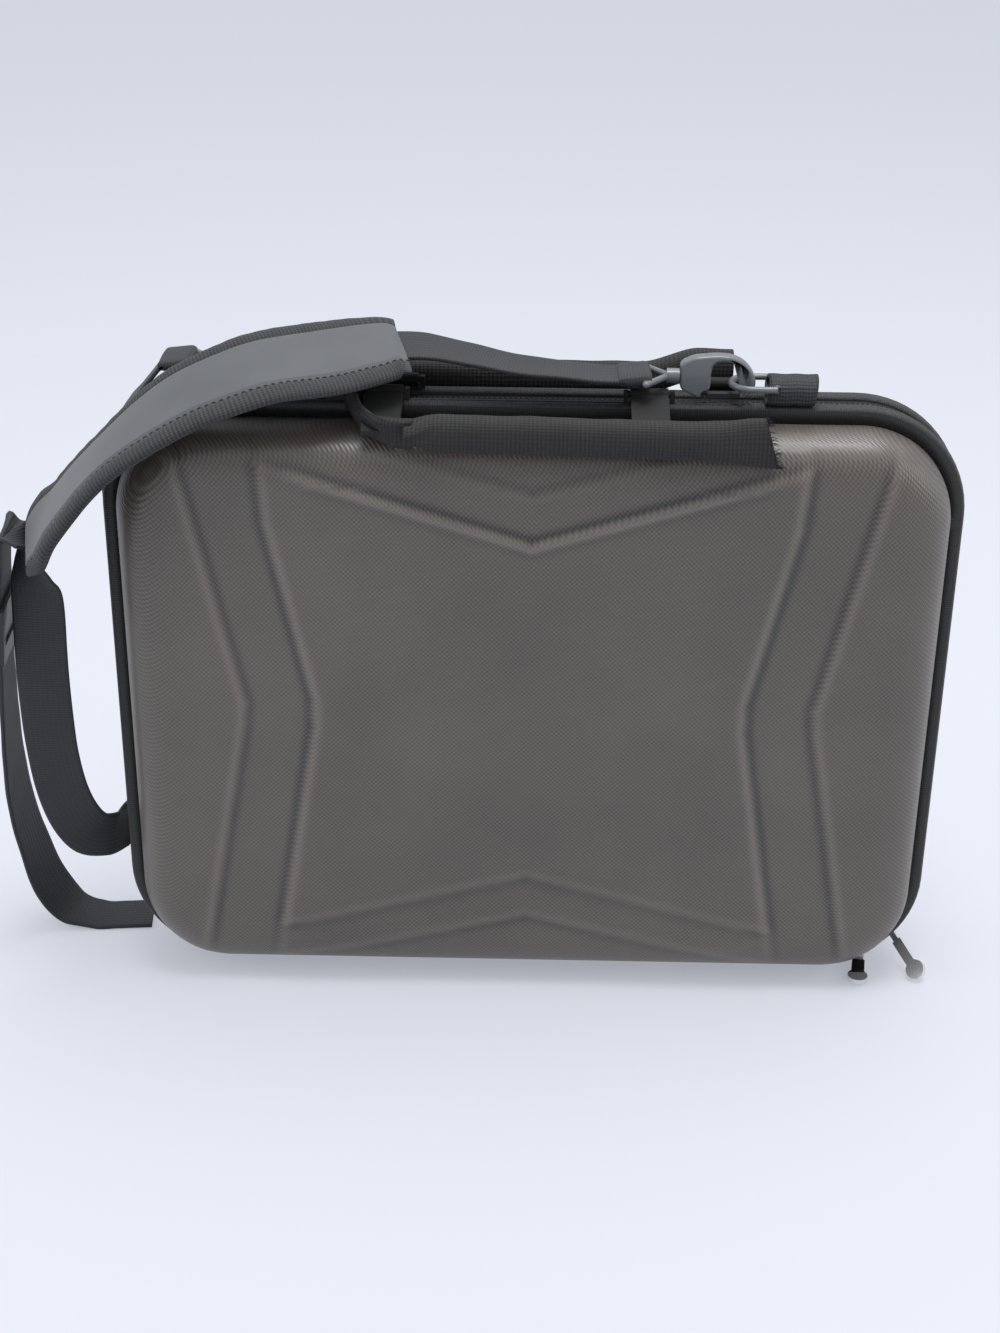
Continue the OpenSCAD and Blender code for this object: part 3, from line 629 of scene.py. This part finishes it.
# ---------------------------------------------------------------- handles
def sleeve(name, body, nodes, box, lean, bunch, frayed, flare=0.0, rise_end=0.0):
    """Padded sleeve of wide webbing folded round a core, with loose wavy edges; its cut end."""
    low, high = box
    cy, cz = (low[1] + high[1]) / 2, (low[2] + high[2]) / 2
    ry, rz = (high[1] - low[1]) / 2 - 0.8, (high[2] - low[2]) / 2 - 0.2
    rows, cols = 130, 56
    rings, uvs = [], []
    for i in range(rows):
        f = i / (rows - 1)
        x = low[0] + (high[0] - low[0]) * f
        pinch = 1 - bunch * (1 - smoothstep(f / 0.09)) * 0.45
        open_z = 1 + flare * smoothstep((f - 0.8) / 0.2)
        open_y = 1 - 0.3 * smoothstep((f - 0.82) / 0.18) * (1 if flare else 0)
        lift = lean * (f - 0.5) + rise_end * smoothstep((f - 0.74) / 0.16)
        ring = []
        for k in range(cols):
            a = 2 * math.pi * k / cols
            e = abs(math.cos(a)) ** 0.75 * (1 if math.cos(a) > 0 else -1)
            g = abs(math.sin(a)) ** 0.85 * (1 if math.sin(a) > 0 else -1)
            swell = 1 + 0.035 * wobble((x, 0.09, k * 0.13), (x, 0.17, 1.3), (x, 0.31, a * 2))
            crease = 0.5 * (1 - smoothstep(f / 0.13)) * math.sin(a * 6 + x * 0.35) * bunch
            y = cy + ry * e * swell * open_y * 0.93 + crease
            z = cz + rz * g * pinch * swell * open_z * 0.95 + lift + crease
            skew = -3.2 * g * smoothstep((f - 0.8) / 0.2) * (1 if flare else 0)
            ring.append((x + skew, y, z))
            uvs.append(((x + skew) * MM, a * ry * MM))
        rings.append(ring)
    if frayed:
        last = rings[rows - 1]
        for depth, scale in ((0, 0.82), (-12, 0.74), (-13, 0.2)):
            ring = []
            for k, (x, y, z) in enumerate(last):
                ring.append((x + depth, cy + (y - cy) * scale, cz + lift + (z - cz - lift) * scale))
                uvs.append((x * MM, k * MM))
            rings.append(ring)
    verts, faces = lofted(rings)
    obj = mesh_object(name, verts, faces, HANDLE, body, nodes, uvs=uvs)
    return rings[rows - 1]


def fray(name, body, ring):
    """Short loose threads along a cut edge that faces +X."""
    rng = random.Random(7)
    verts, faces = [], []
    for _ in range(60):
        c = Vector(ring[rng.randrange(len(ring))])
        tip = Vector((1, 0, 0)) * rng.uniform(1.2, 3.4)
        tip += Vector((rng.uniform(-0.5, 0.5), rng.uniform(-1.2, 1.2), rng.uniform(-1.4, 1.0)))
        base = len(verts)
        for p, r in ((c - tip * 0.3, 0.22), (c + tip * 0.5 + Vector((0, 0, 0.3)), 0.18), (c + tip, 0.07)):
            for k in range(3):
                a = 2.1 * k
                verts.append(p + Vector((0, math.cos(a), math.sin(a))) * r)
        for k in range(2):
            for j in range(3):
                a, b = base + 3 * k + j, base + 3 * k + (j + 1) % 3
                faces.append((a, b, b + 3, a + 3))
        faces += [(base + 2, base + 1, base), (base + 6, base + 7, base + 8)]
    return mesh_object(name, verts, faces, THREAD, body)


def front_gather():
    """The webbing bunched up between the front sleeve and its left anchor."""
    low, high = node_box("front_handle_grip")
    cy, cz = (low[1] + high[1]) / 2, (low[2] + high[2]) / 2
    anchors = node_box("front_handle_anchors")
    goal_y, goal_z = anchors[1][1] - 2, CASE_H + 2.2
    stations = [((low[0] + 3, cy + 1, cz), 8.2), ((low[0] - 6, cy + 2, cz + 0.5), 8.2),
                ((low[0] - 14, cy + 7, cz + 1.5), 7.2), ((low[0] - 21, cy + 16, cz + 4), 6.4),
                ((low[0] - 25, cy + 25, goal_z), 6.4), ((low[0] - 27, goal_y, goal_z), 7)]
    path = spline([s[0] for s in stations], 12)
    halves = spline([(s[1],) for s in stations], 12)
    rings, uvs = [], []
    for i, c in enumerate(path):
        c = Vector(c)
        d = (Vector(path[min(i + 1, len(path) - 1)]) - Vector(path[max(i - 1, 0)])).normalized()
        travel = i + 1
        f = i / (len(path) - 1)
        u = Vector((0.25 * f, -0.35 - 0.3 * f, 1 - 0.75 * f))
        u = (u - d * u.dot(d)).normalized()
        v = d.cross(u)
        ring = []
        for k in range(40):
            a = 2 * math.pi * k / 40
            fold = 1.3 * (1 - f * 0.6) * math.sin(a * 5 + travel * 0.12)
            wide = halves[i][0] * math.cos(a)
            ring.append(c + u * wide + v * ((3.2 - 1.6 * f) * math.sin(a) + fold * 0.45))
            uvs.append((travel * MM, wide * MM))
        rings.append(ring)
    verts, faces = lofted(rings)
    return mesh_object("front_handle_gather", verts, faces, HANDLE, "front_handle", uvs=uvs)


# ---------------------------------------------------------------- small hardware
def rounded(name, width, material):
    """Rounds a CAD node's edges and gives it its material."""
    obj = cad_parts[name]
    if width:
        mod = obj.modifiers.new("edges", "BEVEL")
        mod.width = width * MM
        mod.segments = 3
        mod.limit_method = "ANGLE"
        mod.angle_limit = math.radians(35)
    obj.data.materials.clear()
    obj.data.materials.append(material)
    for face in obj.data.polygons:
        face.use_smooth = True


def rounded_loop(points, radius, step=0.4):
    """Closed outline with its corners rounded, resampled at even steps."""
    dense = []
    n = len(points)
    for i, here in enumerate(points):
        p = Vector(here)
        to_last, to_next = Vector(points[i - 1]) - p, Vector(points[(i + 1) % n]) - p
        a = p + to_last.normalized() * min(radius, to_last.length * 0.48)
        b = p + to_next.normalized() * min(radius, to_next.length * 0.48)
        for k in range(9):
            f = k / 8
            dense.append(a * (1 - f) ** 2 + p * 2 * f * (1 - f) + b * f ** 2)
    out, goal, travel = [], 0.0, 0.0
    for i, p in enumerate(dense):
        q = dense[(i + 1) % len(dense)]
        length = (q - p).length
        while length > 0 and goal < travel + length:
            out.append(p.lerp(q, (goal - travel) / length))
            goal += step
        travel += length
    return out


def inset(loop, amount):
    """Outline moved inward along its normals; the outline runs anticlockwise."""
    n = len(loop)
    area = sum(loop[i - 1].x * loop[i].y - loop[i].x * loop[i - 1].y for i in range(n))
    sign = 1 if area > 0 else -1
    out = []
    for i, p in enumerate(loop):
        t = (loop[(i + 1) % n] - loop[i - 2]).normalized()
        out.append(p + Vector((-t.y, t.x)) * amount * sign)
    return out


def plate(name, points, thick, bevel, place, material, body, nodes):
    """Rounded plate from a 2D outline in millimetres, put in place by a matrix."""
    loop = rounded_loop(points, 2.4)
    rings = []
    for top in (-1, 1):
        for k in range(5):
            a = math.radians(90) * (k if top < 0 else 4 - k) / 4
            ring = inset(loop, bevel * (1 - math.sin(a)))
            depth = top * (thick / 2 - bevel * (1 - math.cos(a)))
            rings.append([place @ Vector((p.x, p.y, depth)) for p in ring])
    verts, faces = lofted(rings)
    obj = mesh_object(name, verts, faces, material, body, nodes)
    for face in obj.data.polygons:
        face.use_smooth = len(face.vertices) == 4
    return obj


HOOK_LINE = [
    (0, -5.6), (0, 6.6), (6, 9.4), (16, 10.4), (23, 10), (28.5, 7.6), (32.4, 3.6), (34.3, -1.2),
    (33.6, -5.4), (30.8, -8.6), (27.4, -9.8), (27, -7.2), (29.6, -5.2), (30.9, -1.6), (29.8, 2.6),
    (27, 5.8), (22.5, 7.4), (17, 7.4), (14.4, 5.4), (13.8, 2), (13.8, -5.6), (11.6, -6.4),
    (9.8, -7.2), (9.4, -9.8), (6, -8.4)]


def hook_plate(name, node, body, flat):
    """Snap hook: a wide shoulder, an arched beak and its mouth, as one rounded plate."""
    low, high = node_box(node)
    middle = [(a + b) / 2 for a, b in zip(low, high)]
    deep = 1 if not flat else 2
    turn = Matrix.Rotation(math.radians(180 if flat else 90), 4, "X")
    place = Matrix.Translation((low[0], middle[1], middle[2])) @ turn
    return plate(name, HOOK_LINE, high[deep] - low[deep], 1.3, place, HOOK, body,
                 [node])


def ribbed_tab():
    """Webbing tab rolled over the right ring's bar: its ribs run along the case."""
    low, high = node_box("tab_right")
    y, z = high[1] - 8.2, low[2]
    outline = [(-8.2, 0.4), (-8.9, 4.2), (-8.3, 8.6), (-5.2, 11.6), (0, 12.7), (5, 11.5), (8.3, 8.4),
               (7.6, 5.4), (3, 4.5), (0.6, 2.6), (0.2, 0.4)]
    loop = rounded_loop(outline, 3.2, 0.28)
    rows, uvs = [], []
    inner = inset(loop, 1.6)
    ribs = [0.32 * abs(math.sin(math.pi * i * 0.28 / 1.75)) ** 0.6 for i in range(len(loop))]
    outer = [p + (p - q).normalized() * r for p, q, r in zip(loop, inner, ribs)]
    stations = [(low[0], inner), (low[0] - 0.2, outer)]
    stations += [(low[0] + (high[0] - low[0]) * k / 12, outer) for k in range(1, 12)]
    stations += [(high[0] + 0.2, outer), (high[0], inner)]
    for x, ring in stations:
        sway = 0.35 * math.sin(x * 0.6)
        rows.append([(x + 0.14 * (p.y - 6), y + p.x, z + p.y + sway * 0.4) for p in ring])
    verts = [v for row in rows for v in row]
    faces = lattice(len(rows), len(loop), wrap_rows=True)
    for row in rows:
        uvs += [(v[0] * MM, (v[1] + v[2]) * MM) for v in row]
    return mesh_object("tab_right_webbing", verts, faces, WEBBING, "front_half",
                       ["tab_right"], uvs=uvs)


def folded_loop(name, node):
    """The webbing's end folded round a swivel eye's bar and back on itself."""
    low, high = node_box(node)
    y, z = (low[1] + high[1]) / 2, (low[2] + high[2]) / 2
    r, half = (high[2] - low[2]) / 2, (high[1] - low[1]) / 2
    bar = high[0] - r
    outline = [(low[0] - 3, z - 1.7), (low[0] - 3, z + 1.9), (bar - 4, z + r - 0.5)]
    outline += [(bar + r * math.sin(math.radians(a)), z + r * math.cos(math.radians(a)))
                for a in range(0, 181, 20)]
    outline += [(bar - 4, z - r + 0.7)]
    loop = rounded_loop(outline, 1.4, 0.5)
    rows, uvs = [], []
    for k in range(9):
        s = -1 + k / 4
        pinch = 0.55 if abs(s) == 1 else 1.0
        ring = inset(loop, 0.5 * (1 - pinch))
        wave = 0.25 * math.sin(3 * s + low[0])
        rows.append([(p.x, y + s * half, p.y + wave) for p in ring])
        uvs += [(p.x * MM, s * half * MM) for p in ring]
    verts, faces = lofted(rows)
    return mesh_object(name, verts, faces, WEBBING, "front_half", [node], uvs=uvs)


# ---------------------------------------------------------------- build
def build_case():
    for side, half, body in ((1, "front", "front_half"), (-1, "rear", "rear_half")):
        shell(half + "_moulded_shell", side, body, half + "_shell")
        swept(half + "_rolled_binding", binding_profile(side), PIPING, body,
              [half + "_binding"])
        groove = side * ((ZIP_HALF + BIND_END) / 2 + GROOVE_SHIFT)
        stitches(half + "_binding_stitches", body, CORNER_R - 0.75, groove, 3.6, (2.6, 0.5, 0.35))
        rounded(half + "_zip_tape", 0, TAPE)
        zip_teeth(half + "_zip_teeth", side, body)
        rounded(half + "_liner", 0, LINING)
        rounded(half + "_handle_anchors", 0.2, BAND)
    rounded("hinge_strip", 0.3, BAND)
    rounded("lid_pocket", 0.3, LINING)
    rounded("pocket_elastic", 0, ELASTIC)
    rounded("laptop_strap", 0.3, ELASTIC)
    rounded("strap_fastener", 0.3, LINING)


def build_handles():
    grip = node_box("front_handle_grip")
    cut = sleeve("front_handle_sleeve", "front_handle", ["front_handle_grip"], grip, -2.5, 1, True,
                 flare=0.36)
    fray("front_handle_fray", "front_handle", cut)
    front_gather()
    rounded("front_handle_webbing", 0.3, BAND)
    rear = node_box("rear_handle_grip")
    sleeve("rear_handle_sleeve", "rear_handle", ["rear_handle_grip"], rear, 0, 0.3, False,
           rise_end=6.5)
    rounded("rear_handle_webbing", 0.3, BAND)


FLAT = (0, 1, 0)
eye_low, eye_high = node_box("swivel_eye_right")
HOOK_Y = (eye_low[1] + eye_high[1]) / 2
HOOK_Z = (eye_low[2] + eye_high[2]) / 2
TOP_ROUTE = [
    ((node_box("strap_loop_right")[0][0] - 0.4, HOOK_Y, HOOK_Z), FLAT),
    ((31, HOOK_Y, TOP + 11.9), FLAT), ((13, -6, TOP + 13.4), FLAT),
    ((-9, -5, TOP + 15.5), (0, 0.99, 0.05)), ((-30, -2, TOP + 19), (-0.1, 0.98, 0.1)),
    ((-49, 0, TOP + 21.6), (-0.2, 0.96, 0.16)), ((-65, 2, TOP + 21.4), (-0.26, 0.95, 0.18))]
PAD_END = Vector(PAD_ROUTE[-1][0])
LOWER_ROUTE = [
    (tuple(PAD_END + Vector((0, 0.5, 2))), (0.39, -0.92, 0.05)),
    ((LEFT - 31, -29, TOP - 80), (0.8, -0.6, 0.02)), ((LEFT - 30.8, -26, TOP - 96), (1, -0.1, 0.03)),
    ((LEFT - 32, -25, TOP - 138), (1, 0, 0.02)), ((LEFT - 31, -24, TOP - 178), (0.98, 0, 0.12)),
    ((LEFT - 27, -20, 92), (0.88, 0.1, 0.46)), ((LEFT - 20, -11, 71), (0.55, 0.2, 0.8)),
    ((LEFT - 11, 1, 63), (0.2, 0, 0.97)), ((LEFT - 6, 12, 62), (0, 0, 1))]
SIDE_X = LEFT - 4.6
left_eye = node_box("strap_loop_left")
LOOP_X = left_eye[0][0]
LOOP_Y = (left_eye[0][1] + left_eye[1][1]) / 2
LOOP_Z = (left_eye[0][2] + left_eye[1][2]) / 2
BACK = (0, -1, 0)
SIDE_ROUTE = [
    ((LEFT - 5.9, 12.9, 62), (0, 0, 1)), ((LEFT - 5.2, 16.5, 62.2), (0, -0.1, 1)),
    ((SIDE_X, 22, 65.5), (0, -0.55, 0.84)), ((SIDE_X, 27, 74), (0, -0.94, 0.34)),
    ((SIDE_X, 29, 90), BACK), ((SIDE_X, 29, MID_Z), BACK), ((SIDE_X, 27, TOP - 62), BACK),
    ((LEFT - 3.2, 23, TOP - 42), BACK), ((LEFT + 2, 19, TOP - 26), BACK), ((LEFT + 9, 14, TOP - 14), BACK),
    ((LEFT + 17, 10, TOP - 4.5), BACK), ((LOOP_X - 6.5, LOOP_Y, LOOP_Z - 6.5), BACK),
    ((LOOP_X - 2.5, LOOP_Y, LOOP_Z - 1.6), BACK), ((LOOP_X - 0.4, LOOP_Y, LOOP_Z - 0.2), BACK)]
TAIL_FLAT = WEB_T / 2 + 0.45
TAIL_WIDE = (0.019, 0.986, 0.167)
TAIL_ROUTE = [
    (tuple(PAD_END + Vector((-WEB_T, 1, 1.5))), (-0.2, 0.97, -0.1)),
    ((LEFT - 40, -27, TOP - 61), TAIL_WIDE), ((LEFT - 44, -26, TOP - 66), TAIL_WIDE),
    ((LEFT - 52, -14, TOP - 136), TAIL_WIDE), ((LEFT - 57, -2, 112), (0.1, 1, 0)),
    ((LEFT - 58, 7, 76), (0.2, 0.98, 0)), ((LEFT - 55, 13, 48), (0.3, 0.95, 0)),
    ((LEFT - 50, 17, 24), (0.4, 0.9, 0.05)), ((LEFT - 40, 20, 7), (0.4, 0.9, 0)),
    ((LEFT - 26, 20, TAIL_FLAT + 0.5), (0.2, 0.97, 0)), ((LEFT - 14, 21, TAIL_FLAT), (0.1, 0.98, 0)),
    ((LEFT + 2, 22.5, TAIL_FLAT), (0.08, 0.98, 0))]


def build_strap():
    shoulder_pad()
    band("strap_top_webbing", TOP_ROUTE, "front_half", ["strap_top_run"])
    band("strap_lower_webbing", LOWER_ROUTE, "front_half", ["strap_lower_run"])
    band("strap_side_webbing", SIDE_ROUTE, "front_half", ["strap_side_run"], cup=0.2)
    band("strap_tail_webbing", TAIL_ROUTE, "front_half", ["strap_tail"], cup=0)
    folded_loop("strap_right_fold", "strap_loop_right")
    folded_loop("strap_left_fold", "strap_loop_left")
    ribbed_tab()
    rounded("tab_left", 0.5, BAND)


def build_hardware():
    rounded("strap_adjuster", 0.7, BUCKLE)
    hook_plate("snap_hook_right", "hook_right", "hook_right", False)
    hook_plate("snap_hook_left", "hook_left", "hook_left", True)
    for side in ("right", "left"):
        rounded("gate_" + side, 0.3, STEEL)
        rounded("ring_" + side, 0, HOOK)
        rounded("swivel_eye_" + side, 0, HOOK)
    for name in ("slider_lower", "slider_upper"):
        rounded(name, 0.3, NICKEL)
    rounded("pull_upper", 0.5, NICKEL)
    rounded("pull_lower", 0.5, dark_banded_pull(-19, 5.6))


# ---------------------------------------------------------------- stage, light and camera
FLOOR_TONE = (0.68, 0.69, 0.73)
BACKDROP_TONE = (0.66, 0.685, 0.76)
BACKDROP_SHARE = 0.5
SKY_TONE = (0.9, 0.93, 1.0)
SKY_LOW, SKY_HIGH = 0.3, 1.3
LIGHTS = (  # name, place, aim, size, power
    ("overhead", (0.25, 0.2, 2.1), (0, -0.05, 0.15), 1.3, 15),
    ("top_sheen", (0.1, -0.35, 1.9), (0, 0, 0.3), 0.6, 11),
    ("left_fill", (-1.7, -0.3, 0.7), (0, 0, 0.15), 1.0, 6),
    ("right_fill", (1.7, -0.3, 0.9), (0, 0, 0.15), 1.0, 6))
CAMERA_PLACE = (-2.449, -879.088, 583.305)
CAMERA_YAW, CAMERA_PITCH, CAMERA_ROLL = -0.0135, 0.4472, 0.011
CAMERA_LENS = 54.0


def pale_floor():
    """Wide floor that shows part of its own tone unlit, so that its shadow stays soft."""
    mesh = bpy.data.meshes.new("floor")
    reach = 9.0
    mesh.from_pydata([(-reach, -reach, 0), (reach, -reach, 0), (reach, reach, 0), (-reach, reach, 0)],
                     [], [(0, 1, 2, 3)])
    floor = bpy.data.objects.new("floor", mesh)
    bpy.context.scene.collection.objects.link(floor)
    mat = bpy.data.materials.new("pale_floor")
    mat.use_nodes = True
    tree = mat.node_tree
    tree.nodes.clear()
    out, mix, diffuse, glow, path = [tree.nodes.new("ShaderNode" + kind) for kind in (
        "OutputMaterial", "MixShader", "BsdfDiffuse", "Emission", "LightPath")]
    seen, through, share = [tree.nodes.new("ShaderNodeMath") for _ in range(3)]
    diffuse.inputs["Color"].default_value = (*FLOOR_TONE, 1)
    glow.inputs["Color"].default_value = (*BACKDROP_TONE, 1)
    seen.operation = through.operation = "MAXIMUM"
    share.operation = "MULTIPLY"
    share.inputs[1].default_value = BACKDROP_SHARE
    for source, goal in (
            (path.outputs["Is Camera Ray"], seen.inputs[0]),
            (path.outputs["Is Glossy Ray"], seen.inputs[1]),
            (seen.outputs[0], through.inputs[0]),
            (path.outputs["Is Transmission Ray"], through.inputs[1]),
            (through.outputs[0], share.inputs[0]),
            (share.outputs[0], mix.inputs[0]),
            (diffuse.outputs[0], mix.inputs[1]),
            (glow.outputs[0], mix.inputs[2]),
            (mix.outputs[0], out.inputs["Surface"])):
        tree.links.new(source, goal)
    mesh.materials.append(mat)


def area_light(name, place, aim, size, power):
    light = bpy.data.lights.new(name, "AREA")
    light.size = size
    light.energy = power
    obj = bpy.data.objects.new(name, light)
    obj.location = place
    obj.rotation_euler = (Vector(aim) - Vector(place)).to_track_quat("-Z", "Y").to_euler()
    bpy.context.scene.collection.objects.link(obj)


def studio():
    """Sky that brightens upwards, and four soft lights."""
    world = bpy.data.worlds.new("studio")
    world.use_nodes = True
    tree = world.node_tree
    sky = tree.nodes["Background"]
    sky.inputs["Color"].default_value = (*SKY_TONE, 1)
    coords = tree.nodes.new("ShaderNodeTexCoord")
    split = tree.nodes.new("ShaderNodeSeparateXYZ")
    ramp = tree.nodes.new("ShaderNodeMapRange")
    ramp.inputs["From Min"].default_value = -0.1
    ramp.inputs["To Min"].default_value = SKY_LOW
    ramp.inputs["To Max"].default_value = SKY_HIGH
    tree.links.new(coords.outputs["Generated"], split.inputs[0])
    tree.links.new(split.outputs[2], ramp.inputs["Value"])
    tree.links.new(ramp.outputs[0], sky.inputs["Strength"])
    bpy.context.scene.world = world
    bpy.context.scene.view_settings.view_transform = "Standard"
    for light in LIGHTS:
        area_light(*light)


def photo_camera():
    """Camera solved from the photograph: position, three angles and the lens."""
    place = Vector(CAMERA_PLACE) * MM
    yaw, pitch, roll = CAMERA_YAW, CAMERA_PITCH, CAMERA_ROLL
    level = math.cos(pitch)
    forward = Vector((math.sin(yaw) * level, math.cos(yaw) * level, -math.sin(pitch)))
    right = Vector((math.cos(yaw), -math.sin(yaw), 0))
    up = right.cross(forward)
    right = right * math.cos(roll) + up * math.sin(roll)
    up = right.cross(forward)
    data = bpy.data.cameras.new("camera")
    data.sensor_width = 36
    data.lens = CAMERA_LENS
    data.clip_end = 50
    cam = bpy.data.objects.new("camera", data)
    turn = Matrix((right, up, -forward)).transposed().to_4x4()
    cam.matrix_world = Matrix.Translation(place) @ turn
    bpy.context.scene.collection.objects.link(cam)
    bpy.context.scene.camera = cam


photo_camera()
studio()
pale_floor()
build_case()
build_handles()
build_strap()
build_hardware()
